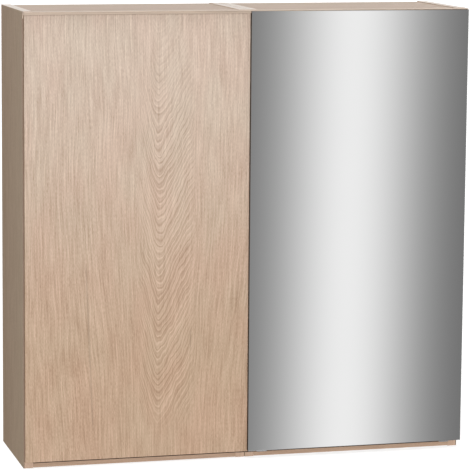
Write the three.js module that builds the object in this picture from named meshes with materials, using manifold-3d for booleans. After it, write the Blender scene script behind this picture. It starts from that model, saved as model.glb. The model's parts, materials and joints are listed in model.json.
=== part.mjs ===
// A sliding door wardrobe: two modules side by side, an oak door that runs close
// to the carcass and a mirror door that runs in front of it.
// Millimetres, +Z up. The origin is on the floor, in the middle of the whole outline,
// and the doors face -Y. Inside the wardrobe group y is measured from the carcass's
// front edges: positive into the carcass, negative towards the room.

import * as THREE from 'three';
import { mergeVertices } from 'three/addons/utils/BufferGeometryUtils.js';
import Module from 'manifold-3d';

const wasm = await Module();
wasm.setup();

// ---- Driving dimensions -------------------------------------------------

const width = 2000;
const height = 1995;
const carcassDepth = 530;
const mirrorFrontOffset = 50;
const totalDepth = carcassDepth + mirrorFrontOffset;

const touch = 0.3;
const cutOverrun = 1;
const halfWidth = width / 2;

// Carcass boards.
const sideThickness = 42;
const moduleGap = 2.4;
const topThickness = 38;
const topRecess = 3;
const bottomThickness = 19;
const bottomLift = 2;
const backThickness = 6;
const backInset = 8;
const backGrooveDepth = 8;
const shelfThickness = 22;
const shelfFront = 25;
const shelfBack = 505;

// Shelf heights, measured to each shelf's underside.
const hatShelfZ = 1690;
const upperShelfZ = 1270;
const fixedShelfZ = 850;
const lowerShelfZ = 430;

// Doors: clear gaps, board thickness and outline.
const boardThickness = 18;
const glassThickness = 4;
const carcassToOakGap = 5;
const oakToMirrorGap = 5;
const oakLeft = -996;
const oakRight = 8;
const oakBottom = 30;
const oakTop = height - 8;
const mirrorLeft = 2;
const mirrorRight = halfWidth;
const mirrorBottom = 36.5;
const mirrorTop = height - 6;
const doorTravel = 980;

// Rollers and the rail that they run on.
const wheelRadius = 13;
const treadRadius = 11.5;
const wheelWidth = 7;
const treadWidth = 3;
const axleRadius = 2;
const rollerInset = 70;
const frontLaneY = 11.5;
const rearLaneY = 29;
const railWeb = 1.5;
const railRibWidth = 2;
const railRibTop = 25.5;
const railEnd = 956;
const railFrontY = 1;
const railBackY = 44;

const bracketPlate = 2;
const bracketWidth = 44;

// How many flat sides stand for a circle, on holes, pins, bolts, wheels and the clothes rail.
const holeSides = 20;
const pinSides = 16;
const boltSides = 24;
const wheelSides = 40;
const railTubeSides = 36;

// Fastenings and fittings.
const railTubeRadius = 12.5;
const railTubeWall = 1.5;
const railTubeY = 265;
const railTubeZ = 1640;
const boltRadius = 3.5;
const boltClearance = 0.4;

// ---- Derived places -----------------------------------------------------

const innerFaceX = halfWidth - sideThickness;
const moduleFaceX = sideThickness;
const bottomTopZ = bottomLift + bottomThickness;
const topPanelTopZ = height - topRecess;
const topPanelUndersideZ = topPanelTopZ - topThickness;
const backFrontY = carcassDepth - backInset - backThickness;

const oakBackY = -carcassToOakGap;
const oakFrontY = oakBackY - boardThickness;
const mirrorBackY = oakFrontY - oakToMirrorGap;
const mirrorBoardFrontY = mirrorBackY - boardThickness;

const railFloorZ = bottomTopZ + touch;
const axleZ = railRibTop + touch + treadRadius;

// ---- Materials ----------------------------------------------------------

function finish(colour, roughness, metalness = 0) {
  return new THREE.MeshStandardMaterial({ color: colour, roughness, metalness });
}

const materials = {
  carcassOak: finish(0xa8957e, 0.6),
  doorOak: finish(0xcbb096, 0.55),
  darkBoard: finish(0x33231a, 0.55),
  backBoard: finish(0xb9ab98, 0.8),
  mirror: finish(0xd8dcdd, 0.04, 1),
  champagne: finish(0xc9bda8, 0.35, 0.9),
  bronze: finish(0x4a3a2e, 0.4, 0.9),
  steel: finish(0x9a9c9e, 0.35, 0.9),
  plastic: finish(0x3a3a3c, 0.5),
  rubber: finish(0x222222, 0.85),
};

// ---- Solid helpers ------------------------------------------------------

function toSolid(geometry) {
  const bare = geometry.clone();
  bare.deleteAttribute('normal');
  bare.deleteAttribute('uv');
  const merged = mergeVertices(bare, 1e-4);
  return new wasm.Manifold(new wasm.Mesh({
    numProp: 3,
    vertProperties: new Float32Array(merged.attributes.position.array),
    triVerts: new Uint32Array(merged.index.array),
  }));
}

function toGeometry(solid) {
  const mesh = solid.getMesh();
  const geometry = new THREE.BufferGeometry();
  geometry.setAttribute('position', new THREE.BufferAttribute(new Float32Array(mesh.vertProperties), 3));
  geometry.setIndex(new THREE.BufferAttribute(new Uint32Array(mesh.triVerts), 1));
  geometry.computeVertexNormals();
  return geometry;
}

function cut(geometry, cutters) {
  let solid = toSolid(geometry);
  for (const cutter of cutters) {
    solid = solid.subtract(toSolid(cutter));
  }
  return toGeometry(solid);
}

// A board between two corners.
function block([x0, x1], [y0, y1], [z0, z1]) {
  const geometry = new THREE.BoxGeometry(x1 - x0, y1 - y0, z1 - z0);
  return geometry.translate((x0 + x1) / 2, (y0 + y1) / 2, (z0 + z1) / 2);
}

// A section drawn in the (y, z) plane and drawn out along X between two ends.
const sectionToWorld = new THREE.Matrix4().makeBasis(
  new THREE.Vector3(0, 1, 0),
  new THREE.Vector3(0, 0, 1),
  new THREE.Vector3(1, 0, 0),
);

function extrudeAlongX(section, x0, x1) {
  const shape = new THREE.Shape(section.map(([y, z]) => new THREE.Vector2(y, z)));
  const geometry = new THREE.ExtrudeGeometry(shape, { depth: x1 - x0, bevelEnabled: false });
  geometry.applyMatrix4(sectionToWorld);
  return geometry.translate(x0, 0, 0);
}

// A turned piece about the Y axis, from (radius, y) points in order of y.
function turned(profile, segments) {
  return new THREE.LatheGeometry(profile.map(([radius, y]) => new THREE.Vector2(radius, y)), segments);
}

// A round hole along Y, centred on y.
function holeAlongY(radius, length, x, y, z) {
  return new THREE.CylinderGeometry(radius, radius, length, holeSides).translate(x, y, z);
}

// A round hole along X, centred on x.
function holeAlongX(radius, length, x, y, z) {
  return holeAlongY(radius, length, 0, 0, 0).rotateZ(Math.PI / 2).translate(x, y, z);
}

// ---- Assembly -----------------------------------------------------------

const group = new THREE.Group();
const wardrobe = new THREE.Group();
wardrobe.position.y = mirrorFrontOffset - totalDepth / 2;
group.add(wardrobe);

function addPart(name, geometry, material, position = [0, 0, 0]) {
  const mesh = new THREE.Mesh(geometry, material);
  mesh.name = name;
  mesh.position.set(...position);
  wardrobe.add(mesh);
  return mesh;
}

// Turns a piece made along +Y so that it points along +X (side 1) or -X (side -1).
function pointAlongX(mesh, side) {
  mesh.rotation.z = -side * Math.PI / 2;
}

// ---- Carcass ------------------------------------------------------------

const bolts = [
  ['front_bottom', 60, 220],
  ['rear_bottom', 440, 220],
  ['front_top', 60, 1800],
  ['rear_top', 440, 1800],
];

const shelfPinY = [70, 460];
const shelfPinLength = 9;
const shelfPinRadius = 2.4;
const shelfPegRadius = 3.2;
const pinnedShelves = [['lower', lowerShelfZ], ['upper', upperShelfZ]];

// The inner side panels are cut away at the foot so that the rail and brackets run through.
const notchDepth = 46;
const notchTopZ = 64;

// A side panel with the groove for the back panel on the face at grooveX.
// inward is the direction from that face into the module: 1 towards +X, -1 towards -X.
function sidePanel(x0, x1, grooveX, inward, cutters) {
  const grooveEdge = grooveX - inward * backGrooveDepth;
  const beyondFace = grooveX + inward;
  const groove = block(
    [Math.min(grooveEdge, beyondFace), Math.max(grooveEdge, beyondFace)],
    [backFrontY - touch, backFrontY + backThickness + touch],
    [-cutOverrun, height + cutOverrun],
  );
  return cut(block([x0, x1], [0, carcassDepth], [0, height]), [groove, ...cutters]);
}

function footNotch(x0, x1) {
  return block([x0 - cutOverrun, x1 + cutOverrun], [-cutOverrun, notchDepth], [bottomTopZ, notchTopZ]);
}

function boltHoles(x0, x1) {
  const centre = (x0 + x1) / 2;
  const length = x1 - x0 + 2 * cutOverrun;
  return bolts.map(([, y, z]) => holeAlongX(boltRadius + boltClearance, length, centre, y, z));
}

function shelfPinHoles(faceX) {
  const holes = [];
  for (const [, shelfZ] of pinnedShelves) {
    for (const y of shelfPinY) {
      const z = shelfZ - touch - shelfPegRadius;
      holes.push(holeAlongX(shelfPinRadius + touch, 2 * (shelfPinLength + cutOverrun), faceX, y, z));
    }
  }
  return holes;
}

const seamX = moduleGap / 2;
addPart('left_outer_side', sidePanel(-halfWidth, -innerFaceX, -innerFaceX, 1, []), materials.carcassOak);
addPart('left_inner_side', sidePanel(-moduleFaceX, -seamX, -moduleFaceX, -1, [
  footNotch(-moduleFaceX, -seamX),
  ...boltHoles(-moduleFaceX, -seamX),
]), materials.carcassOak);
addPart('right_inner_side', sidePanel(seamX, moduleFaceX, moduleFaceX, 1, [
  footNotch(seamX, moduleFaceX),
  ...boltHoles(seamX, moduleFaceX),
  ...shelfPinHoles(moduleFaceX),
]), materials.carcassOak);
addPart('right_outer_side', sidePanel(innerFaceX, halfWidth, innerFaceX, -1, [
  ...shelfPinHoles(innerFaceX),
]), materials.carcassOak);

const panelDepth = [0, backFrontY - touch];
const modules = [
  ['left', -innerFaceX, -moduleFaceX],
  ['right', moduleFaceX, innerFaceX],
];

for (const [side, x0, x1] of modules) {
  const span = [x0 + touch, x1 - touch];
  const backReach = backGrooveDepth - touch;
  const backSpan = [x0 - backReach, x1 + backReach];
  const topPanel = block(span, panelDepth, [topPanelUndersideZ, topPanelTopZ]);
  addPart(`${side}_top_panel`, topPanel, materials.carcassOak);
  addPart(`${side}_bottom_panel`, block(span, panelDepth, [bottomLift, bottomTopZ]), materials.carcassOak);
  addPart(
    `${side}_back_panel`,
    block(backSpan, [backFrontY, backFrontY + backThickness], [bottomLift, topPanelTopZ]),
    materials.backBoard,
  );
}

function addShelf(name, [, x0, x1], z) {
  const span = [x0 + touch, x1 - touch];
  addPart(name, block(span, [shelfFront, shelfBack], [z, z + shelfThickness]), materials.carcassOak);
}

const [leftModule, rightModule] = modules;
addShelf('left_hat_shelf', leftModule, hatShelfZ);
addShelf('right_hat_shelf', rightModule, hatShelfZ);
addShelf('right_upper_shelf', rightModule, upperShelfZ);
addShelf('right_fixed_shelf', rightModule, fixedShelfZ);
addShelf('right_lower_shelf', rightModule, lowerShelfZ);

const shelfPin = turned([
  [0, -shelfPinLength],
  [shelfPinRadius, -shelfPinLength],
  [shelfPinRadius, touch],
  [shelfPegRadius, touch],
  [shelfPegRadius, shelfPinLength],
  [0, shelfPinLength],
], pinSides);

for (const [shelf, shelfZ] of pinnedShelves) {
  for (const [column, y] of [['front', shelfPinY[0]], ['rear', shelfPinY[1]]]) {
    for (const [side, faceX, direction] of [['left', moduleFaceX, 1], ['right', innerFaceX, -1]]) {
      const z = shelfZ - touch - shelfPegRadius;
      const pin = addPart(`${shelf}_shelf_pin_${column}_${side}`, shelfPin, materials.steel, [faceX, y, z]);
      pointAlongX(pin, direction);
    }
  }
}

// ---- Clothes rail -------------------------------------------------------

const socketFlange = 4;
const socketFlangeRadius = 26;
const socketLength = 18;
const socketRadius = 17;
const socketBore = railTubeRadius + 0.5;
const railSocket = turned([
  [0, 0],
  [socketFlangeRadius, 0],
  [socketFlangeRadius, socketFlange],
  [socketRadius, socketFlange],
  [socketRadius, socketLength],
  [socketBore, socketLength],
  [socketBore, socketFlange],
  [0, socketFlange],
], railTubeSides);

for (const [side, x, direction] of [['left', -innerFaceX, 1], ['right', -moduleFaceX, -1]]) {
  const place = [x + direction * touch, railTubeY, railTubeZ];
  const socket = addPart(`rail_socket_${side}`, railSocket, materials.steel, place);
  pointAlongX(socket, direction);
}

const railTubeEnd = socketFlange + 2 * touch;
const railTubeLength = innerFaceX - moduleFaceX - 2 * railTubeEnd;
const railTubeInner = railTubeRadius - railTubeWall;
const clothesRail = addPart('clothes_rail', turned([
  [railTubeInner, 0],
  [railTubeRadius, 0],
  [railTubeRadius, railTubeLength],
  [railTubeInner, railTubeLength],
  [railTubeInner, 0],
], railTubeSides), materials.steel, [-innerFaceX + railTubeEnd, railTubeY, railTubeZ]);
pointAlongX(clothesRail, 1);

// ---- Bolts between the modules and wall brackets ------------------------

const boltHeadThickness = 2.2;
const boltHeadRadius = 9;
const boltSpan = moduleFaceX + touch;
const boltEnd = boltSpan + boltHeadThickness;
const moduleBolt = turned([
  [0, -boltEnd],
  [boltHeadRadius, -boltEnd],
  [boltHeadRadius, -boltSpan],
  [boltRadius, -boltSpan],
  [boltRadius, boltSpan],
  [boltHeadRadius, boltSpan],
  [boltHeadRadius, boltEnd],
  [0, boltEnd],
], boltSides);

for (const [corner, y, z] of bolts) {
  const bolt = addPart(`module_bolt_${corner}`, moduleBolt, materials.steel, [0, y, z]);
  pointAlongX(bolt, 1);
}

const wallBracketReach = 45;
const wallBracketWidth = 40;
const wallScrewRadius = 4;
const wallScrewDrop = 28;
const wallBracketY = backFrontY - 2 * touch;
const wallBracketTopZ = topPanelUndersideZ - touch;
const wallBracket = cut(extrudeAlongX([
  [wallBracketY - wallBracketReach, wallBracketTopZ],
  [wallBracketY - wallBracketReach, wallBracketTopZ - bracketPlate],
  [wallBracketY - bracketPlate, wallBracketTopZ - bracketPlate],
  [wallBracketY - bracketPlate, wallBracketTopZ - wallBracketReach],
  [wallBracketY, wallBracketTopZ - wallBracketReach],
  [wallBracketY, wallBracketTopZ],
], -wallBracketWidth / 2, wallBracketWidth / 2), [
  holeAlongY(wallScrewRadius, 5 * bracketPlate, 0, wallBracketY, wallBracketTopZ - wallScrewDrop),
]);

for (const [side, x0, x1] of modules) {
  addPart(`wall_bracket_${side}`, wallBracket, materials.steel, [(x0 + x1) / 2, 0, 0]);
}

// ---- Guide profile above the doors --------------------------------------

const guideTop = -1.2;
const guideWebUnderside = -3.2;
const guideLipUnderside = -4.6;
const guideLipWidth = 1.5;
const guideFront = -47;
const guideFlangeFront = -1.8;
const guideFlangeUnderside = -32;
const guideEndInset = 1;
const guideFin = 2;
const finReach = 8.5;
const laneRibFront = oakFrontY - 3.7;
const laneRibBack = oakFrontY - 1.9;
const laneRibUnderside = -7;
const oakMiddleY = (oakFrontY + oakBackY) / 2;
const mirrorMiddleY = (mirrorBoardFrontY + mirrorBackY) / 2;

// Section of the guide, with z measured from the carcass's top: a front lip, a fin for each
// door's groove, a rib between the two lanes, and a flange on the carcass's front edge.
const guideSection = [
  [-touch, guideTop],
  [guideFront, guideTop],
  [guideFront, guideLipUnderside],
  [guideFront + guideLipWidth, guideLipUnderside],
  [guideFront + guideLipWidth, guideWebUnderside],
  [mirrorMiddleY - guideFin / 2, guideWebUnderside],
  [mirrorMiddleY - guideFin / 2, mirrorTop - height - finReach],
  [mirrorMiddleY + guideFin / 2, mirrorTop - height - finReach],
  [mirrorMiddleY + guideFin / 2, guideWebUnderside],
  [laneRibFront, guideWebUnderside],
  [laneRibFront, laneRibUnderside],
  [laneRibBack, laneRibUnderside],
  [laneRibBack, guideWebUnderside],
  [oakMiddleY - guideFin / 2, guideWebUnderside],
  [oakMiddleY - guideFin / 2, oakTop - height - finReach],
  [oakMiddleY + guideFin / 2, oakTop - height - finReach],
  [oakMiddleY + guideFin / 2, guideWebUnderside],
  [guideFlangeFront, guideWebUnderside],
  [guideFlangeFront, guideFlangeUnderside],
  [-touch, guideFlangeUnderside],
];
const guideEnd = halfWidth - guideEndInset;
addPart('top_guide', extrudeAlongX(guideSection, -guideEnd, guideEnd), materials.champagne, [0, 0, height]);

// ---- Running rail and its stops -----------------------------------------

const railTopZ = railFloorZ + railWeb;
const halfRib = railRibWidth / 2;
const railSection = [
  [railFrontY, railFloorZ],
  [railBackY, railFloorZ],
  [railBackY, railRibTop],
  [railBackY - railWeb, railRibTop],
  [railBackY - railWeb, railTopZ],
  [rearLaneY + halfRib, railTopZ],
  [rearLaneY + halfRib, railRibTop],
  [rearLaneY - halfRib, railRibTop],
  [rearLaneY - halfRib, railTopZ],
  [frontLaneY + halfRib, railTopZ],
  [frontLaneY + halfRib, railRibTop],
  [frontLaneY - halfRib, railRibTop],
  [frontLaneY - halfRib, railTopZ],
  [railFrontY, railTopZ],
];
addPart('running_rail', extrudeAlongX(railSection, -railEnd, railEnd), materials.bronze);

// A stop straddles its lane's rib and catches the wheel at the end of its travel.
const stopLength = 12;
const stopHalfWidth = 4.5;
const stopTopZ = 40;
const stopFloorZ = railTopZ + touch;
const stopSlot = halfRib + touch;
const stopSection = [
  [-stopHalfWidth, stopFloorZ],
  [-stopSlot, stopFloorZ],
  [-stopSlot, railRibTop + touch],
  [stopSlot, railRibTop + touch],
  [stopSlot, stopFloorZ],
  [stopHalfWidth, stopFloorZ],
  [stopHalfWidth, stopTopZ],
  [-stopHalfWidth, stopTopZ],
];
const railStop = extrudeAlongX(stopSection, -stopLength / 2, stopLength / 2);
const stopOffset = wheelRadius + 2 * touch + stopLength / 2;

const oakRollerX = [oakLeft + rollerInset, oakRight - rollerInset];
const mirrorRollerX = [mirrorLeft + rollerInset, mirrorRight - rollerInset];
const stops = [
  ['rear_left', oakRollerX[0] - stopOffset, rearLaneY],
  ['rear_right', oakRollerX[1] + doorTravel + stopOffset, rearLaneY],
  ['front_left', mirrorRollerX[0] - doorTravel - stopOffset, frontLaneY],
  ['front_right', mirrorRollerX[1] + stopOffset, frontLaneY],
];
for (const [place, x, y] of stops) {
  addPart(`rail_stop_${place}`, railStop, materials.rubber, [x, y, 0]);
}

// ---- Doors --------------------------------------------------------------

const shoeLength = 60;
const shoeInset = 90;
const shoeHeight = 20;
const shoeFrontWall = 2.5;
const shoeSlot = 1.7;
const grooveHalf = 2.5;
const grooveDepth = 12;

// Pockets in a door's top edge for the guide shoes, and the groove that the guide fin runs in.
function doorBoard([x0, x1], [front, back], [z0, z1], shoeX) {
  const middle = (front + back) / 2;
  const groove = block(
    [x0 - cutOverrun, x1 + cutOverrun],
    [middle - grooveHalf, middle + grooveHalf],
    [z1 - grooveDepth, z1 + cutOverrun],
  );
  const pocketFront = middle - shoeSlot - shoeFrontWall - touch;
  const pockets = shoeX.map((x) => block(
    [x - shoeLength / 2, x + shoeLength / 2],
    [pocketFront, back + cutOverrun],
    [z1 - shoeHeight, z1 + cutOverrun],
  ));
  return cut(block([x0, x1], [front, back], [z0, z1]), [groove, ...pockets]);
}

// A plastic shoe that fills its pocket and holds the guide fin in a slot.
function guideShoe(middle, back, top) {
  const underside = top - shoeHeight + touch;
  const slotFloor = top - grooveDepth;
  return extrudeAlongX([
    [middle - shoeSlot - shoeFrontWall, underside],
    [back - touch, underside],
    [back - touch, top],
    [middle + shoeSlot, top],
    [middle + shoeSlot, slotFloor],
    [middle - shoeSlot, slotFloor],
    [middle - shoeSlot, top],
    [middle - shoeSlot - shoeFrontWall, top],
  ], touch - shoeLength / 2, shoeLength / 2 - touch);
}

// A grooved wheel on its axle, made about the Y axis with y measured from its bracket's plate.
const hubGap = 0.8;
const hubLength = 2;
const wheelStart = hubGap + hubLength;
const wheelEnd = wheelStart + wheelWidth;
const flangeWidth = (wheelWidth - treadWidth) / 2;
const boreRadius = axleRadius + 0.3;
const hubRadius = 4.5;
const wheelGeometry = turned([
  [boreRadius, hubGap],
  [hubRadius, hubGap],
  [hubRadius, wheelStart],
  [wheelRadius, wheelStart],
  [wheelRadius, wheelStart + flangeWidth],
  [treadRadius, wheelStart + flangeWidth],
  [treadRadius, wheelEnd - flangeWidth],
  [wheelRadius, wheelEnd - flangeWidth],
  [wheelRadius, wheelEnd],
  [boreRadius, wheelEnd],
  [boreRadius, hubGap],
], wheelSides);

const axleHeadThickness = 1.4;
const axleHeadRadius = 4;
const axleTipRadius = 3.4;
const axleHeadY = -bracketPlate - touch;
const axleTipY = wheelEnd + touch;
const axleGeometry = turned([
  [0, axleHeadY - axleHeadThickness],
  [axleHeadRadius, axleHeadY - axleHeadThickness],
  [axleHeadRadius, axleHeadY],
  [axleRadius, axleHeadY],
  [axleRadius, axleTipY],
  [axleTipRadius, axleTipY],
  [axleTipRadius, axleTipY + axleHeadThickness],
  [0, axleTipY + axleHeadThickness],
], holeSides);

const frontPlateY = frontLaneY - wheelStart - wheelWidth / 2;
const rearPlateY = rearLaneY - wheelStart - wheelWidth / 2;

// The mirror door's bracket passes under the oak door; the oak door's bracket passes
// over the front lane's wheels. Both end in a plate that carries the axle.
const mirrorBracketTopZ = 96;
const oakBracketTopZ = 110;
const underDoorZ = 26.5;
const overWheelZ = 56;
const bracketFootZ = 30;
const axleToPlateTop = 9;
const bracketHeadZ = axleZ + axleToPlateTop;
const mirrorBracketY = mirrorBackY + touch;
const oakBracketY = oakBackY + touch;

const mirrorBracketSection = [
  [mirrorBracketY, underDoorZ],
  [frontPlateY, underDoorZ],
  [frontPlateY, bracketHeadZ],
  [frontPlateY - bracketPlate, bracketHeadZ],
  [frontPlateY - bracketPlate, underDoorZ + bracketPlate],
  [mirrorBracketY + bracketPlate, underDoorZ + bracketPlate],
  [mirrorBracketY + bracketPlate, mirrorBracketTopZ],
  [mirrorBracketY, mirrorBracketTopZ],
];
const oakBracketSection = [
  [oakBracketY, overWheelZ],
  [rearPlateY - bracketPlate, overWheelZ],
  [rearPlateY - bracketPlate, bracketFootZ],
  [rearPlateY, bracketFootZ],
  [rearPlateY, overWheelZ + bracketPlate],
  [oakBracketY + bracketPlate, overWheelZ + bracketPlate],
  [oakBracketY + bracketPlate, oakBracketTopZ],
  [oakBracketY, oakBracketTopZ],
];

function rollerBracket(section, plateY) {
  const plain = extrudeAlongX(section, -bracketWidth / 2, bracketWidth / 2);
  return cut(plain, [holeAlongY(boreRadius, 3 * bracketPlate, 0, plateY - bracketPlate / 2, axleZ)]);
}

// Everything that moves with one door.
function addDoor({ name, material, x, y, z, rollerX, bracketSection, plateY }) {
  const [back, top] = [y[1], z[1]];
  const middle = (y[0] + back) / 2;
  const shoeX = [x[0] + shoeInset, x[1] - shoeInset];
  addPart(`${name}_door_panel`, doorBoard(x, y, z, shoeX), material);
  const bracket = rollerBracket(bracketSection, plateY);
  const shoe = guideShoe(middle, back, top);
  for (const [index, side] of ['left', 'right'].entries()) {
    addPart(`${name}_guide_shoe_${side}`, shoe, materials.plastic, [shoeX[index], 0, 0]);
    addPart(`${name}_roller_bracket_${side}`, bracket, materials.steel, [rollerX[index], 0, 0]);
    const axlePlace = [rollerX[index], plateY, axleZ];
    addPart(`${name}_roller_axle_${side}`, axleGeometry, materials.steel, axlePlace);
    addPart(`${name}_roller_wheel_${side}`, wheelGeometry, materials.plastic, axlePlace);
  }
}

addDoor({
  name: 'oak',
  material: materials.doorOak,
  x: [oakLeft, oakRight],
  y: [oakFrontY, oakBackY],
  z: [oakBottom, oakTop],
  rollerX: oakRollerX,
  bracketSection: oakBracketSection,
  plateY: rearPlateY,
});
addDoor({
  name: 'mirror',
  material: materials.darkBoard,
  x: [mirrorLeft, mirrorRight],
  y: [mirrorBoardFrontY, mirrorBackY],
  z: [mirrorBottom, mirrorTop],
  rollerX: mirrorRollerX,
  bracketSection: mirrorBracketSection,
  plateY: frontPlateY,
});
addPart('mirror_glass', block(
  [mirrorLeft, mirrorRight],
  [mirrorBoardFrontY - glassThickness, mirrorBoardFrontY - touch],
  [mirrorBottom, mirrorTop],
), materials.mirror);

export default group;
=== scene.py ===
"""The looks of a sliding door wardrobe: oak decor, a frameless mirror, fittings, studio light."""

import json
import math

import bmesh
import bpy
from mathutils import Euler, Matrix, Vector


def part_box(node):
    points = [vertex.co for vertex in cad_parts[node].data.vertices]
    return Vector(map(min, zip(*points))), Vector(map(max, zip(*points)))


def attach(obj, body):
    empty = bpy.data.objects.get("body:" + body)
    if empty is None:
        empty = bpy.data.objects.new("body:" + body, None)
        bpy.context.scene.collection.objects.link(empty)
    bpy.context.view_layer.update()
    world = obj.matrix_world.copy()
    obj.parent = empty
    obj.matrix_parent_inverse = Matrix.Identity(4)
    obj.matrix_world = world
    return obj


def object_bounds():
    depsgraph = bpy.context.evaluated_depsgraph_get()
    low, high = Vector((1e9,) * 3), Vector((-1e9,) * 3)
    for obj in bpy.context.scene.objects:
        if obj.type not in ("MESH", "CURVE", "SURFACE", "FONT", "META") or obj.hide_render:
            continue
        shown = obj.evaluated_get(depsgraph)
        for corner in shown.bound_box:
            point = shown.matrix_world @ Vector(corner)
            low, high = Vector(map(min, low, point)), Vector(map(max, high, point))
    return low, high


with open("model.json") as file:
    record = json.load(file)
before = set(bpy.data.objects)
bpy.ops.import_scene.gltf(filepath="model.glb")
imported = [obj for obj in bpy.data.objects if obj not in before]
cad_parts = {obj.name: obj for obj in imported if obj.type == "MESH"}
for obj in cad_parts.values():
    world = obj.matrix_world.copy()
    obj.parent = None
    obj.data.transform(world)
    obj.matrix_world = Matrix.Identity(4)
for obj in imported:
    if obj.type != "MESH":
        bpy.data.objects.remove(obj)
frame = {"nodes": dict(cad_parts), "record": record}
cad_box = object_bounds()
nodes = frame["nodes"]
scene = bpy.context.scene

MM = 0.001


# ---- Colours (linear) -----------------------------------------------------


def srgb(red, green, blue):
    """A linear colour from display values between 0 and 255."""

    def linear(value):
        share = value / 255
        if share <= 0.04045:
            return share / 12.92
        return ((share + 0.055) / 1.055) ** 2.4

    return (linear(red), linear(green), linear(blue), 1.0)


# ---- Node helper ----------------------------------------------------------

SHADER_SOCKETS = {
    "metallic": "Metallic",
    "specular": "Specular IOR Level",
    "glow": "Emission Color",
    "glow_strength": "Emission Strength",
}


class Graph:
    """Builds one material's nodes with short calls. A value may be a number or a socket."""

    def __init__(self, name):
        self.material = bpy.data.materials.new(name)
        self.material.use_nodes = True
        self.tree = self.material.node_tree
        self.shader = self.tree.nodes["Principled BSDF"]
        self.place = self.node("ShaderNodeTexCoord")

    def node(self, kind, **settings):
        made = self.tree.nodes.new(kind)
        for key, value in settings.items():
            setattr(made, key, value)
        return made

    def plug(self, value, socket):
        if isinstance(value, bpy.types.NodeSocket):
            self.tree.links.new(value, socket)
        else:
            socket.default_value = value

    def math(self, operation, first, second=0.0, third=0.0, clamp=False):
        made = self.node("ShaderNodeMath", operation=operation, use_clamp=clamp)
        for value, socket in zip((first, second, third), made.inputs):
            self.plug(value, socket)
        return made.outputs[0]

    def spot(self):
        """The x, y and z of a point of the object, in metres."""
        return self.split(self.place.outputs["Object"])[:3]

    def split(self, vector):
        made = self.node("ShaderNodeSeparateXYZ")
        self.plug(vector, made.inputs[0])
        return made.outputs

    def join(self, x, y, z):
        made = self.node("ShaderNodeCombineXYZ")
        for value, socket in zip((x, y, z), made.inputs):
            self.plug(value, socket)
        return made.outputs[0]

    def noise(self, vector, scale=1.0, detail=2.0, roughness=0.5):
        made = self.node("ShaderNodeTexNoise")
        self.plug(vector, made.inputs["Vector"])
        made.inputs["Scale"].default_value = scale
        made.inputs["Detail"].default_value = detail
        made.inputs["Roughness"].default_value = roughness
        return made.outputs["Fac"]

    def spread(self, value, low, high, to_low=0.0, to_high=1.0, smooth=True):
        """Maps a value's range low..high to to_low..to_high, clamped."""
        made = self.node("ShaderNodeMapRange")
        made.interpolation_type = "SMOOTHSTEP" if smooth else "LINEAR"
        for item, socket in zip((value, low, high, to_low, to_high), made.inputs):
            self.plug(item, socket)
        return made.outputs[0]

    def bell(self, value, half_width):
        """1 where a value is 0, falling off smoothly on both sides."""
        share = self.math("DIVIDE", value, half_width)
        squared = self.math("MULTIPLY", share, share)
        return self.math("POWER", math.e, self.math("MULTIPLY", squared, -1.0))

    def mix(self, factor, first, second, blend="MIX"):
        made = self.node("ShaderNodeMix", data_type="RGBA", blend_type=blend)
        self.plug(factor, made.inputs[0])
        self.plug(first, made.inputs[6])
        self.plug(second, made.inputs[7])
        return made.outputs[2]

    def tint(self, colour, factors):
        """Multiplies a colour by another."""
        return self.mix(1.0, colour, factors, "MULTIPLY")

    def shade(self, colour, amount):
        """Multiplies a colour by a grey amount."""
        return self.tint(colour, self.join(amount, amount, amount))

    def bump(self, height, strength, distance):
        made = self.node("ShaderNodeBump")
        made.inputs["Strength"].default_value = strength
        made.inputs["Distance"].default_value = distance
        self.plug(height, made.inputs["Height"])
        self.tree.links.new(made.outputs[0], self.shader.inputs["Normal"])

    def finish(self, colour, roughness, **sockets):
        self.plug(colour, self.shader.inputs["Base Color"])
        self.plug(roughness, self.shader.inputs["Roughness"])
        for name, value in sockets.items():
            self.plug(value, self.shader.inputs[SHADER_SOCKETS[name]])
        return self.material


# ---- Wood -----------------------------------------------------------------

# Grain layers: cells per metre across and along, detail and weight.
GRAIN_LAYERS = (
    (14.0, 4.9, 2.0, 0.36),
    (90.0, 2.0, 2.0, 0.45),
    (170.0, 4.0, 1.0, 0.75),
    (270.0, 9.0, 1.0, 1.3),
    (600.0, 70.0, 1.0, 1.3),
)

# The carcass: pale and deep tones, and what they are multiplied by at the back and at the foot, a painted
# shade that darkens them there.
SIDE_TONES = (srgb(226, 203, 178), srgb(190, 165, 138))
# Painted shade: darker tones for faces that look forward, on the side boards and on the level boards.
SIDE_FRONT_SHADE_TONES = (srgb(214, 184, 161), srgb(184, 153, 131))
LEVEL_FRONT_SHADE_TONES = (srgb(203, 172, 148), srgb(170, 139, 116))
# Painted shade and sheen: darker, greyer tones for the level boards' faces that look up.
TOP_SHADE_SHEEN_TONES = (srgb(205, 184, 168), srgb(179, 157, 140))
# Painted highlight: paler tones for the side boards' top edges.
SIDE_TOP_HIGHLIGHT_TONES = (srgb(238, 229, 221), srgb(226, 214, 205))
BACK_PAINTED_SHADE = (0.82, 0.76, 0.73, 1.0)
FOOT_PAINTED_SHADE = (0.93, 0.92, 0.89, 1.0)

# A painted shadow: the dark line along the outer front corners, its brightness and where it fades in.
CORNER_PAINTED_SHADOW = 0.5
CORNER_SHADOW_FADE = (6.0 * MM, 4.0 * MM)

# The door: deep and pale tones of its upper and lower parts, the upper ones paler and pinker as a painted
# sheen, and its edge banding.
DOOR_UPPER_SHEEN_TONES = (srgb(180, 155, 138), srgb(233, 217, 202))
DOOR_LOWER_TONES = (srgb(160, 128, 101), srgb(216, 189, 165))
# The edge banding's tone, darkened as painted shade along the door's edges.
DOOR_SHADED_BANDING = srgb(150, 118, 88)
DOOR_PINK = (1.035, 0.995, 0.98, 1.0)
DOOR_OLIVE = (1.01, 1.02, 1.0, 1.0)

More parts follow.
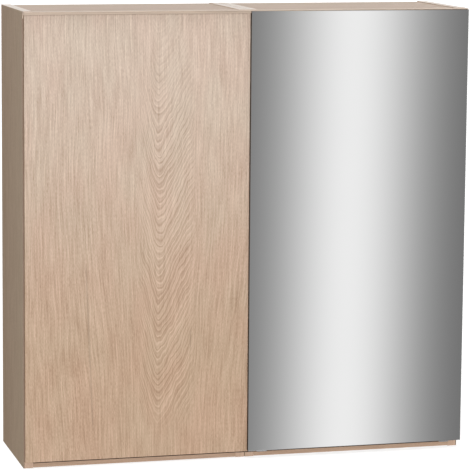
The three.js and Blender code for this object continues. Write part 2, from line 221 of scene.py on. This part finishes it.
# The door's nested figures: their middle as a share of its width, how steeply their lines rise
# on either side, how round their tips are, and their rings per metre with weights.
FIGURE_MIDDLE = 0.588
RIGHT_RISE = 2.1
LEFT_RISE = 4.2
TIP_ROUNDING = 0.03
FIGURE_RINGS = ((29.0, 0.23), (61.0, 0.16))

# Where the figures fade out: in metres from their middle, and as shares of the height from the top.
FIGURE_RIGHT_FADE = (0.12, 0.19)
FIGURE_LEFT_FADE = (-0.11, -0.05)
FIGURE_WAVY_FADE = (0.19, 0.15)
FIGURE_TOP_FADE = (0.02, 0.30)
FIGURE_FOOT_FADE = (0.86, 0.96)
FIGURE_FAINTEST = 0.25

# Dark marks on the door: share across, lean in metres, half width in metres, first and last
# share of the height from the top.
LONG_VEIN = (0.22, 0.085, 0.006, 0.55, 0.94)
SHORT_FLECK = (0.735, 0.0, 0.005, 0.70, 0.77)
MARK_FADE = 0.03
MARK_DEPTH = -0.16


def streaks(graph, across, along, contrast=1.0):
    """Grain lines that run along, as a value around 0: broad bands, lines and short pores."""

    def layer(cells_across, cells_along, detail, weight, total):
        spot = graph.join(
            graph.math("MULTIPLY", across, cells_across),
            graph.math("MULTIPLY", along, cells_along),
            cells_across / 100,
        )
        swing = graph.math("SUBTRACT", graph.noise(spot, 1.0, detail, 0.6), 0.5)
        return graph.math("MULTIPLY_ADD", swing, weight * contrast, total)

    total = 0.0
    for settings in GRAIN_LAYERS:
        total = layer(*settings, total)
    return total


def grain_axes(graph, along_axis):
    """(across, along) of a board whose grain runs along X or Z, in metres."""
    x, y, z = graph.spot()
    if along_axis == "Z":
        return graph.math("MULTIPLY_ADD", y, 0.83, x), z
    return graph.math("MULTIPLY_ADD", z, 0.83, y), x


def edge_mask(graph, axes):
    """1 on faces that look along one of the axes, 0 elsewhere."""
    parts = graph.split(graph.place.outputs["Normal"])
    total = 0.0
    for axis in axes:
        size = graph.math("ABSOLUTE", parts["XYZ".index(axis)])
        total = graph.math("ADD", size, total)
    return graph.spread(total, 0.55, 0.75)


def facing(graph, axis, direction):
    """1 on faces that look along an axis in a direction (1 or -1), 0 elsewhere."""
    part = graph.split(graph.place.outputs["Normal"])["XYZ".index(axis)]
    return graph.spread(graph.math("MULTIPLY", part, direction), 0.55, 0.75)


def board_oak(name, along_axis, tones, front_shade_tones, top_painted_tones):
    """Matt oak foil with straight grain, darker at the back and the foot as painted shade. Faces that look
    forward or up take their own tones as painted shade and highlight. Tones are pale and deep.
    """
    graph = Graph(name)
    x, y, z = graph.spot()
    across, along = grain_axes(graph, along_axis)
    grain = streaks(graph, across, along)
    level = graph.spread(grain, -0.7, 0.7, smooth=False)
    colour = graph.mix(level, tones[1], tones[0])
    # Painted shade: darker towards the back.
    behind = graph.spread(y, cad_box[0].y, cad_box[1].y, smooth=False)
    colour = graph.mix(behind, colour, graph.tint(colour, BACK_PAINTED_SHADE))
    # Painted shade: darker towards the foot.
    raised = graph.spread(z, 0.0, cad_box[1].z, smooth=False)
    colour = graph.mix(raised, graph.tint(colour, FOOT_PAINTED_SHADE), colour)
    # Painted shade: faces that look forward take the darker front tones.
    front = graph.mix(level, front_shade_tones[1], front_shade_tones[0])
    # A painted shadow: the outermost millimetres of the front faces are darkened.
    fade_start, fade_end = (cad_box[1].x - inset for inset in CORNER_SHADOW_FADE)
    corner = graph.spread(graph.math("ABSOLUTE", x), fade_start, fade_end, 1.0, CORNER_PAINTED_SHADOW)
    colour = graph.mix(facing(graph, "Y", -1), colour, graph.shade(front, corner))
    # Painted light: faces that look up take their own tones, darker and greyer on level boards, paler on
    # the sides' top edges.
    colour = graph.mix(facing(graph, "Z", 1), colour, graph.mix(level, top_painted_tones[1], top_painted_tones[0]))
    graph.bump(grain, 0.25, 0.0004)
    return graph.finish(colour, graph.spread(grain, -0.5, 0.5, 0.62, 0.5), specular=0.35)


def door_oak():
    """The oak door: straight grain on both sides of nested rounded figures that point down."""
    graph = Graph("door_oak")
    low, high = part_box("oak_door_panel")
    wide, tall = high.x - low.x, high.z - low.z
    x, y, z = graph.spot()
    down = graph.math("DIVIDE", graph.math("SUBTRACT", high.z, z), tall)
    side = graph.math("SUBTRACT", x, low.x + FIGURE_MIDDLE * wide)

    def shift(cells_x, cells_z, size, detail=2.0):
        """A slow wander of the given size, in metres."""
        spot = graph.join(graph.math("MULTIPLY", x, cells_x), cells_z, graph.math("MULTIPLY", z, cells_z))
        return graph.math("MULTIPLY", graph.math("SUBTRACT", graph.noise(spot, 1.0, detail), 0.5), size)

    # Straight grain wanders a little, and its lines draw together beside the figure's foot.
    gather = graph.math("MULTIPLY", graph.spread(down, 0.35, 1.05), 0.5)
    drawn = graph.math("MULTIPLY_ADD", graph.math("MULTIPLY", graph.bell(side, 0.34), gather), side, side)
    straight = graph.math("ADD", graph.math("ADD", drawn, shift(3.5, 1.4, 0.045)), shift(9.0, 5.0, 0.012))

    # Nested figures: their lines rise from a rounded tip, further on the right than on the left.
    def arm(reach, rise):
        squared = graph.math("MULTIPLY", reach, reach)
        rounded = graph.math("DIVIDE", squared, graph.math("ADD", reach, TIP_ROUNDING))
        return graph.math("MULTIPLY", rounded, rise)

    right_reach = graph.math("MAXIMUM", side, 0.0)
    left_reach = graph.math("MAXIMUM", graph.math("MULTIPLY", side, -1.0), 0.0)
    arms = graph.math("ADD", arm(right_reach, RIGHT_RISE), arm(left_reach, LEFT_RISE))
    jag = graph.math("ADD", shift(12.0, 4.0, 0.13), shift(45.0, 18.0, 0.016))
    level = graph.math("ADD", graph.math("SUBTRACT", z, arms), jag)
    break_spot = graph.join(graph.math("MULTIPLY", level, 24.0), graph.math("MULTIPLY", x, 9.0), 5.0)
    breaks = graph.noise(break_spot, 1.0, 2.0)

    def rings(per_metre, weight, total):
        turns = graph.math("MULTIPLY_ADD", breaks, 1.6, graph.math("MULTIPLY", level, per_metre))
        wave = graph.math("SINE", graph.math("MULTIPLY", turns, math.tau))
        return graph.math("MULTIPLY_ADD", wave, weight, total)

    figure = 0.0
    for per_metre, weight in FIGURE_RINGS:
        figure = rings(per_metre, weight, figure)
    patch_spot = graph.join(graph.math("MULTIPLY", level, 9.0), x, 2.0)
    patch = graph.math("SUBTRACT", graph.noise(patch_spot, 1.0, 2.0), 0.5)
    figure = graph.math("MULTIPLY_ADD", patch, 0.8, figure)

    plain = streaks(graph, straight, z)
    wavy_side = graph.math("ADD", side, shift(5.0, 6.0, 0.12))
    mask = graph.spread(side, *FIGURE_RIGHT_FADE, 1.0, 0.0)
    for fade in (
        graph.spread(side, *FIGURE_LEFT_FADE),
        graph.spread(down, *FIGURE_TOP_FADE, FIGURE_FAINTEST, 1.0),
        graph.spread(down, *FIGURE_FOOT_FADE, 1.0, 0.0),
        graph.spread(wavy_side, *FIGURE_WAVY_FADE),
    ):
        mask = graph.math("MULTIPLY", mask, fade)
    figure = graph.math("MULTIPLY_ADD", plain, 0.6, figure)
    grain = graph.math("MULTIPLY_ADD", mask, graph.math("SUBTRACT", figure, plain), plain)

    # Two dark marks: a long vein on the left and a short fleck on the right.
    def mark(share_across, lean, half_width, first, last):
        middle = graph.math("MULTIPLY_ADD", down, lean, low.x + share_across * wide)
        gap = graph.math("ABSOLUTE", graph.math("SUBTRACT", x, middle))
        line = graph.spread(gap, 0.001, half_width, 1.0, 0.0)
        line = graph.math("MULTIPLY", line, graph.spread(down, first, first + MARK_FADE))
        return graph.math("MULTIPLY", line, graph.spread(down, last - MARK_FADE, last, 1.0, 0.0))

    marks = graph.math("ADD", mark(*LONG_VEIN), mark(*SHORT_FLECK))

    tone = graph.spread(grain, -0.7, 0.7, smooth=False)
    upper = graph.mix(tone, *DOOR_UPPER_SHEEN_TONES)
    lower = graph.mix(tone, *DOOR_LOWER_TONES)
    # Painted sheen: the door grows paler and pinker towards its top.
    colour = graph.mix(graph.spread(down, 0.0, 0.85), upper, lower)
    hue_spot = graph.join(graph.math("MULTIPLY", straight, 7.0), 0.0, graph.math("MULTIPLY", z, 3.0))
    hue = graph.noise(hue_spot, 1.0, 1.0)
    olive = graph.tint(colour, DOOR_OLIVE)
    pink = graph.tint(colour, DOOR_PINK)
    colour = graph.mix(graph.spread(hue, 0.3, 0.7), olive, pink)
    colour = graph.shade(colour, graph.math("MULTIPLY_ADD", marks, MARK_DEPTH, 1.0))
    # Edge banding, darkened as painted shade.
    banding = graph.shade(DOOR_SHADED_BANDING, graph.spread(plain, -0.7, 0.7, 0.9, 1.1))
    colour = graph.mix(edge_mask(graph, "XZ"), colour, banding)
    graph.bump(grain, 0.3, 0.0005)
    return graph.finish(colour, graph.spread(grain, -0.7, 0.7, 0.6, 0.48), specular=0.35)


# ---- Other materials ------------------------------------------------------


def mirror():
    """Silvered glass: a clean face with the faintest haze, and dark green polished edges."""
    graph = Graph("mirror")
    haze = graph.noise(graph.place.outputs["Object"], 2.5, 4.0, 0.6)
    edge = edge_mask(graph, "XZ")
    face = graph.mix(haze, (0.955, 0.957, 0.957, 1.0), (0.975, 0.975, 0.973, 1.0))
    colour = graph.mix(edge, face, (0.035, 0.045, 0.04, 1.0))
    rough = graph.math("ADD", graph.spread(haze, 0.3, 0.7, 0.0, 0.012), graph.math("MULTIPLY", edge, 0.25))
    return graph.finish(colour, rough, metallic=1.0)


# Marks per metre along X, Y and Z: drawn out along X where a metal is brushed, else even.
BRUSHED = (6.0, 900.0, 900.0)
EVEN = (220.0, 220.0, 220.0)


def metal(name, colour, roughness, marks_per_metre=EVEN, metallic=1.0):
    """Metal with faint marks that vary its tone and gloss."""
    graph = Graph(name)
    parts = [graph.math("MULTIPLY", part, scale) for part, scale in zip(graph.spot(), marks_per_metre)]
    marks = graph.noise(graph.join(*parts), 1.0, 3.0, 0.6)
    tone = graph.shade(colour, graph.spread(marks, 0.3, 0.7, 0.9, 1.06))
    rough = graph.spread(marks, 0.3, 0.7, roughness * 0.8, roughness * 1.25)
    graph.bump(marks, 0.08, 0.0002)
    return graph.finish(tone, rough, metallic=metallic)


def moulded(name, colour, roughness, grain_scale):
    """Moulded plastic or rubber with a fine pebbled skin."""
    graph = Graph(name)
    pebble = graph.noise(graph.place.outputs["Object"], grain_scale, 3.0, 0.6)
    tone = graph.shade(colour, graph.spread(pebble, 0.3, 0.7, 0.85, 1.2))
    graph.bump(pebble, 0.2, 0.0002)
    return graph.finish(tone, graph.spread(pebble, 0.3, 0.7, roughness - 0.06, roughness + 0.06))


def dark_board():
    """The mirror door's board: dark brown foil with a faint grain."""
    graph = Graph("dark_board")
    across, along = grain_axes(graph, "Z")
    grain = streaks(graph, across, along)
    colour = graph.mix(graph.spread(grain, -0.5, 0.5), srgb(38, 24, 13), srgb(62, 43, 28))
    graph.bump(grain, 0.2, 0.0004)
    return graph.finish(colour, 0.55, specular=0.3)


def hardboard():
    """Printed hardboard for the back panels."""
    graph = Graph("back_board")
    across, along = grain_axes(graph, "Z")
    grain = streaks(graph, across, along, 0.8)
    fibre = graph.noise(graph.place.outputs["Object"], 260.0, 3.0, 0.7)
    colour = graph.mix(graph.spread(grain, -0.5, 0.5), srgb(176, 158, 136), srgb(198, 181, 160))
    colour = graph.shade(colour, graph.spread(fibre, 0.3, 0.7, 0.96, 1.03))
    graph.bump(fibre, 0.15, 0.0003)
    return graph.finish(colour, 0.75, specular=0.3)


materials = {
    "side": board_oak("carcass_oak", "Z", SIDE_TONES, SIDE_FRONT_SHADE_TONES, SIDE_TOP_HIGHLIGHT_TONES),
    "level": board_oak("carcass_oak_level", "X", SIDE_TONES, LEVEL_FRONT_SHADE_TONES, TOP_SHADE_SHEEN_TONES),
    "door_oak": door_oak(),
    "dark_board": dark_board(),
    "back_board": hardboard(),
    "mirror": mirror(),
    "champagne_aluminium": metal("champagne_aluminium", srgb(206, 186, 168), 0.42, BRUSHED, metallic=0.25),
    "bronze_aluminium": metal("bronze_aluminium", srgb(96, 78, 62), 0.42, BRUSHED),
    "zinc_steel": metal("zinc_steel", srgb(188, 190, 192), 0.32),
    "chrome": metal("chrome", srgb(226, 228, 230), 0.1, BRUSHED),
    "black_plastic": moulded("black_plastic", srgb(42, 42, 44), 0.45, 900.0),
    "rubber": moulded("rubber", srgb(34, 34, 34), 0.8, 500.0),
}


# ---- Objects --------------------------------------------------------------


def add_object(name, build, material):
    """A new object in the scene, from a finished mesh build."""
    mesh = bpy.data.meshes.new(name)
    build.to_mesh(mesh)
    build.free()
    mesh.materials.append(material)
    made = bpy.data.objects.new(name, mesh)
    scene.collection.objects.link(made)
    return made


# ---- Finishes on the CAD nodes --------------------------------------------


def node_finish(name, slot):
    """The material of a CAD node: boards that lie level have their grain along X."""
    if name == "mirror_door_panel":
        return materials["dark_board"]
    if slot == "carcass_oak":
        return materials["side" if name.endswith("_side") else "level"]
    return materials[slot]


BOARD_SLOTS = ("carcass_oak", "door_oak", "dark_board", "mirror")


def edge_width(name, slot):
    """How far a node's edges are rounded: most where the two modules meet in a groove."""
    if name.endswith("_inner_side"):
        return 2.0 * MM
    return 1.0 * MM if slot in BOARD_SLOTS else 0.25 * MM


def soften_edges(piece, width):
    """Rounds a CAD node's sharp edges without touching its own vertices."""
    weld = piece.modifiers.new("weld", "WELD")
    weld.merge_threshold = 1e-5
    bevel = piece.modifiers.new("bevel", "BEVEL")
    bevel.width = width
    bevel.segments = 2
    bevel.limit_method = "ANGLE"
    bevel.angle_limit = math.radians(40)


for part in frame["record"]["subparts"]:
    piece = nodes[part["node"]]
    slot = part["material_slot"]
    piece.data.materials.clear()
    piece.data.materials.append(node_finish(part["node"], slot))
    soften_edges(piece, edge_width(part["node"], slot))


# ---- Small fittings -------------------------------------------------------

FITTING_SIDES = 24
SUNK = 0.1 * MM


def screw_head(radius, proud):
    """(radius, height, is hexagon) rings of a low head with a hexagon socket."""
    socket = 0.42 * radius
    return [
        (radius, -SUNK, False),
        (radius, 0.4 * proud, False),
        (0.82 * radius, proud, False),
        (socket, proud, True),
        (socket, 0.2 * proud, True),
    ]


def sleeve(radius, bore, proud):
    """Rings of a short lining round a hole."""
    return [
        (radius, -SUNK, False),
        (radius, 0.6 * proud, False),
        (radius - 0.2 * MM, proud, False),
        (bore, proud, False),
        (bore, 0.1 * proud, False),
    ]


def cap(radius, proud):
    """Rings of a thin round cap with a soft rim."""
    return [(radius, -SUNK, False), (radius, 0.4 * proud, False), (0.93 * radius, proud, False)]


def hexagon_share(angle):
    """How far a hexagon's side lies from its middle at an angle, as a share of its corners' radius."""
    sixth = math.tau / 6
    return math.cos(sixth / 2) / math.cos(angle % sixth - sixth / 2)


def turn_rings(build, place, normal, rings):
    """Adds one closed turned solid to a mesh, standing on a face at a place."""
    stand = Vector(normal).to_track_quat("Z", "Y").to_matrix().to_4x4()
    stand.translation = Vector(place)
    loops = []
    for radius, height, is_hexagon in rings:
        loop = []
        for index in range(FITTING_SIDES):
            angle = math.tau * index / FITTING_SIDES
            reach = radius * hexagon_share(angle) if is_hexagon else radius
            spot = Vector((reach * math.cos(angle), reach * math.sin(angle), height))
            loop.append(build.verts.new(stand @ spot))
        loops.append(loop)
    for lower, upper in zip(loops, loops[1:]):
        for index in range(FITTING_SIDES):
            after = (index + 1) % FITTING_SIDES
            build.faces.new((lower[index], lower[after], upper[after], upper[index]))
    build.faces.new(list(reversed(loops[0])))
    build.faces.new(loops[-1])


def add_fittings(name, body, finish, rings, normal, places):
    """One piece made of the same small fitting at several places on one body."""
    build = bmesh.new()
    for place in places:
        turn_rings(build, place, normal, rings)
    piece = add_object(name, build, materials[finish])
    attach(piece, body)


def evenly(first, last, count):
    """Evenly spaced values from first to last."""
    return [first + (last - first) * index / (count - 1) for index in range(count)]


def add_door_screws():
    """Flush screws that hold the roller brackets to the doors' backs."""
    plate = 2.0 * MM
    head = screw_head(3.6 * MM, 0.5 * MM)
    for door, heights in (("mirror", (52, 69, 86)), ("oak", (76, 97))):
        for side in ("left", "right"):
            low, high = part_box(f"{door}_roller_bracket_{side}")
            plate_back = low.y + plate
            middle = (low.x + high.x) / 2
            places = [(middle + across * MM, plate_back, z * MM) for z in heights for across in (-12, 12)]
            name = f"{door}_bracket_screws_{side}"
            add_fittings(name, f"{door}_door", "zinc_steel", head, (0, 1, 0), places)


def add_track_screws():
    """Screws along the running rail and along the guide's flange."""
    low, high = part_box("running_rail")
    web_top = low.z + 1.5 * MM
    places = [(x, (low.y + high.y) / 2 - 3 * MM, web_top) for x in evenly(low.x + 0.05, high.x - 0.05, 8)]
    head = screw_head(3.0 * MM, 0.5 * MM)
    add_fittings("running_rail_screws", "carcass", "zinc_steel", head, (0, 0, 1), places)
    low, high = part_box("top_guide")
    flange_front = high.y - 1.5 * MM
    places = [(x, flange_front, low.z + 9 * MM) for x in evenly(low.x + 0.06, high.x - 0.06, 10)]
    add_fittings("top_guide_screws", "carcass", "zinc_steel", head, (0, -1, 0), places)


def add_rail_and_wall_screws():
    """Three screws in each clothes rail socket and two in each wall bracket."""
    screw_circle = 21.5 * MM
    flange = 4 * MM
    head = screw_head(3.0 * MM, 0.9 * MM)
    for side, facing_x in (("left", 1), ("right", -1)):
        low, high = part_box(f"rail_socket_{side}")
        wall_x = low.x if facing_x > 0 else high.x
        middle_y, middle_z = (low.y + high.y) / 2, (low.z + high.z) / 2
        places = []
        for degrees in (90, 210, 330):
            y = middle_y + screw_circle * math.cos(math.radians(degrees))
            z = middle_z + screw_circle * math.sin(math.radians(degrees))
            places.append((wall_x + facing_x * flange, y, z))
        name = f"rail_socket_screws_{side}"
        add_fittings(name, "carcass", "zinc_steel", head, (facing_x, 0, 0), places)
        low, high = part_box(f"wall_bracket_{side}")
        middle_x = (low.x + high.x) / 2
        places = [(middle_x + across * MM, low.y + 16 * MM, high.z - 2 * MM) for across in (-11, 11)]
        name = f"wall_bracket_screws_{side}"
        add_fittings(name, "carcass", "zinc_steel", head, (0, 0, -1), places)


def add_nails():
    """Nails through the back panels into the boards in front of them."""
    head = cap(2.6 * MM, 0.6 * MM)
    for side, boards in (
        ("left", ("top_panel", "hat_shelf", "bottom_panel")),
        ("right", ("top_panel", "hat_shelf", "fixed_shelf", "bottom_panel")),
    ):
        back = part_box(f"{side}_back_panel")[1].y
        places = []
        for board in boards:
            low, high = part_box(f"{side}_{board}")
            places += [(x, back, (low.z + high.z) / 2) for x in evenly(low.x + 0.04, high.x - 0.04, 7)]
        name = f"back_panel_nails_{side}"
        add_fittings(name, "carcass", "zinc_steel", head, (0, 1, 0), places)


def add_shelf_holes():
    """Lined holes above and below each shelf pin, so that the shelves can be moved."""
    pitch = 32 * MM
    steps = (-4, -3, -2, -1, 1, 2, 3, 4)
    lining = sleeve(3.2 * MM, 2.5 * MM, 0.3 * MM)
    for side, facing_x in (("left", 1), ("right", -1)):
        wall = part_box("right_inner_side")[1].x if facing_x > 0 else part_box("right_outer_side")[0].x
        places = []
        for shelf in ("lower", "upper"):
            for column in ("front", "rear"):
                low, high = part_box(f"{shelf}_shelf_pin_{column}_{side}")
                middle_y, middle_z = (low.y + high.y) / 2, (low.z + high.z) / 2
                places += [(wall, middle_y, middle_z + step * pitch) for step in steps]
        name = f"shelf_holes_{side}"
        add_fittings(name, "carcass", "black_plastic", lining, (facing_x, 0, 0), places)


def add_cover_caps():
    """Round caps over the hidden fittings under the fixed shelves."""
    cover = cap(8.5 * MM, 0.8 * MM)
    for shelf in ("left_hat_shelf", "right_hat_shelf", "right_fixed_shelf"):
        low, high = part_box(shelf)
        columns = (low.x + 34 * MM, high.x - 34 * MM)
        rows = (low.y + 60 * MM, high.y - 60 * MM)
        places = [(x, y, low.z) for x in columns for y in rows]
        add_fittings(f"{shelf}_caps", "carcass", "level", cover, (0, 0, -1), places)


add_door_screws()
add_track_screws()
add_rail_and_wall_screws()
add_nails()
add_shelf_holes()
add_cover_caps()


# ---- Stage, light and camera ----------------------------------------------


FLOOR_RADIUS = 90.0
FLOOR_GREYS = ((0.50, 0.50, 0.50, 1.0), (0.52, 0.52, 0.52, 1.0))
FLOOR_GLOW = 0.78

BLACK = (0.0, 0.0, 0.0, 1.0)

# The surroundings: as seen, as light on the object, and as the grey of reflections.
NEUTRAL = (1.0, 1.0, 1.0, 1.0)
AMBIENT = (1.0, 0.97, 0.93, 1.0)
AMBIENT_STRENGTH = 0.26
GLOSS_GREY = 0.30


def add_stage():
    """A wide pale floor that glows a little, so that it stays near white to the horizon."""
    graph = Graph("floor_white")
    colour = graph.mix(graph.noise(graph.place.outputs["Object"], 3.0, 2.0), *FLOOR_GREYS)
    graph.finish(colour, 0.9, specular=0.0, glow=NEUTRAL, glow_strength=FLOOR_GLOW)
    build = bmesh.new()
    bmesh.ops.create_circle(build, cap_ends=True, segments=64, radius=FLOOR_RADIUS)
    floor = add_object("floor", build, graph.material)
    floor.location.z = cad_box[0].z - 0.5 * MM
    floor.visible_glossy = False
    floor.visible_diffuse = False


def add_world():
    """White to the camera, softer as light. In reflections it is white behind and above, else grey."""
    world = bpy.data.worlds.new("studio")
    scene.world = world
    world.use_nodes = True
    tree = world.node_tree
    tree.nodes.clear()
    paths = tree.nodes.new("ShaderNodeLightPath")
    output = tree.nodes.new("ShaderNodeOutputWorld")

    def background(colour, strength):
        made = tree.nodes.new("ShaderNodeBackground")
        made.inputs[0].default_value = colour
        made.inputs[1].default_value = strength
        return made.outputs[0]

    def choose(factor, first, second):
        made = tree.nodes.new("ShaderNodeMixShader")
        tree.links.new(factor, made.inputs[0])
        tree.links.new(first, made.inputs[1])
        tree.links.new(second, made.inputs[2])
        return made.outputs[0]

    place = tree.nodes.new("ShaderNodeTexCoord")
    parts = tree.nodes.new("ShaderNodeSeparateXYZ")
    tree.links.new(place.outputs["Generated"], parts.inputs[0])

    def towards(axis, low, high):
        made = tree.nodes.new("ShaderNodeMapRange")
        made.inputs["From Min"].default_value = low
        made.inputs["From Max"].default_value = high
        tree.links.new(parts.outputs[axis], made.inputs["Value"])
        return made.outputs[0]

    backdrop = tree.nodes.new("ShaderNodeMath")
    backdrop.operation = "MULTIPLY"
    tree.links.new(towards("Y", -0.2, 0.6), backdrop.inputs[0])
    tree.links.new(towards("Z", -0.02, 0.10), backdrop.inputs[1])
    mirrored = choose(backdrop.outputs[0], background(NEUTRAL, GLOSS_GREY), background(NEUTRAL, 1.0))
    light, white = background(AMBIENT, AMBIENT_STRENGTH), background(NEUTRAL, 1.0)
    shown = choose(paths.outputs["Is Camera Ray"], light, white)
    tree.links.new(choose(paths.outputs["Is Glossy Ray"], shown, mirrored), output.inputs[0])


# The card that the mirror reflects, and its bright bands: where one has its middle, their half
# width and spacing, the grey between them and how much brighter they are.
CARD_DISTANCE = 3.71
CARD_HEIGHT = 0.5
CARD_SIZE = (12.0, 14.0)
CARD_TILT = math.radians(1.0)
BAND_MIDDLE_X = 1.641
BAND_HALF_WIDTH = 0.43
BAND_SPACING = 2.6
BAND_FLOOR = 0.145
BAND_PEAK = 0.715


def add_card():
    """A tall card in front of the mirror, with bright vertical bands. Only reflections see it."""
    mirror_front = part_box("mirror_glass")[0].y
    graph = Graph("reflection_card")
    across = graph.math("MULTIPLY", graph.spot()[0], CARD_SIZE[0])
    from_band = graph.math("WRAP", across, BAND_SPACING / 2, -BAND_SPACING / 2)
    grey = graph.math("MULTIPLY_ADD", graph.bell(from_band, BAND_HALF_WIDTH), BAND_PEAK, BAND_FLOOR)
    graph.finish(BLACK, 1.0, specular=0.0, glow=graph.join(grey, grey, grey), glow_strength=1.0)
    build = bmesh.new()
    bmesh.ops.create_grid(build, x_segments=1, y_segments=1, size=0.5)
    card = add_object("reflection_card", build, graph.material)
    card.location = (BAND_MIDDLE_X, mirror_front - CARD_DISTANCE, CARD_HEIGHT)
    card.rotation_euler = (math.radians(90), CARD_TILT, 0)
    card.scale = (*CARD_SIZE, 1.0)
    card.visible_camera = False
    card.visible_diffuse = False
    card.visible_shadow = False
    card.visible_transmission = False


def add_sun(name, direction, strength, angle, in_gloss=True):
    """A sun with soft shadows. Without in_gloss it leaves no highlights."""
    data = bpy.data.lights.new(name, "SUN")
    data.energy = strength
    data.angle = math.radians(angle)
    sun = bpy.data.objects.new(name, data)
    sun.rotation_euler = Vector(direction).to_track_quat("-Z", "Y").to_euler()
    sun.visible_glossy = in_gloss
    scene.collection.objects.link(sun)


# The camera: its place in metres, its angles in degrees, its lens in mm and its shift.
CAMERA_PLACE = (-2.8466, -10.6422, 2.6233)
CAMERA_YAW = 14.2072
CAMERA_PITCH = 7.638
CAMERA_ROLL = 0.3612
CAMERA_LENS = 189.32
CAMERA_SENSOR = 36.0
CAMERA_SHIFT = (0.0745, -0.0851)
CAMERA_REACH = 300.0


def add_camera():
    """A long lens from the front left, a little above the wardrobe."""
    data = bpy.data.cameras.new("camera")
    data.sensor_width = CAMERA_SENSOR
    data.lens = CAMERA_LENS
    data.shift_x, data.shift_y = CAMERA_SHIFT
    data.clip_end = CAMERA_REACH
    camera = bpy.data.objects.new("camera", data)
    turn = Euler((math.radians(90 - CAMERA_PITCH), 0.0, math.radians(-CAMERA_YAW))).to_matrix()
    turn = turn @ Matrix.Rotation(math.radians(CAMERA_ROLL), 3, "Z")
    camera.rotation_euler = turn.to_euler()
    camera.location = CAMERA_PLACE
    scene.collection.objects.link(camera)
    scene.camera = camera


add_stage()
add_world()
add_card()
add_sun("front_light", (0.18, 0.97, -0.15), 2.1, 14)
add_sun("top_light", (0.08, 0.12, -1.0), 1.45, 60)
add_sun("back_light", (-0.42, -0.9, -0.08), 1.7, 20, in_gloss=False)
add_camera()
scene.view_settings.view_transform = "Standard"
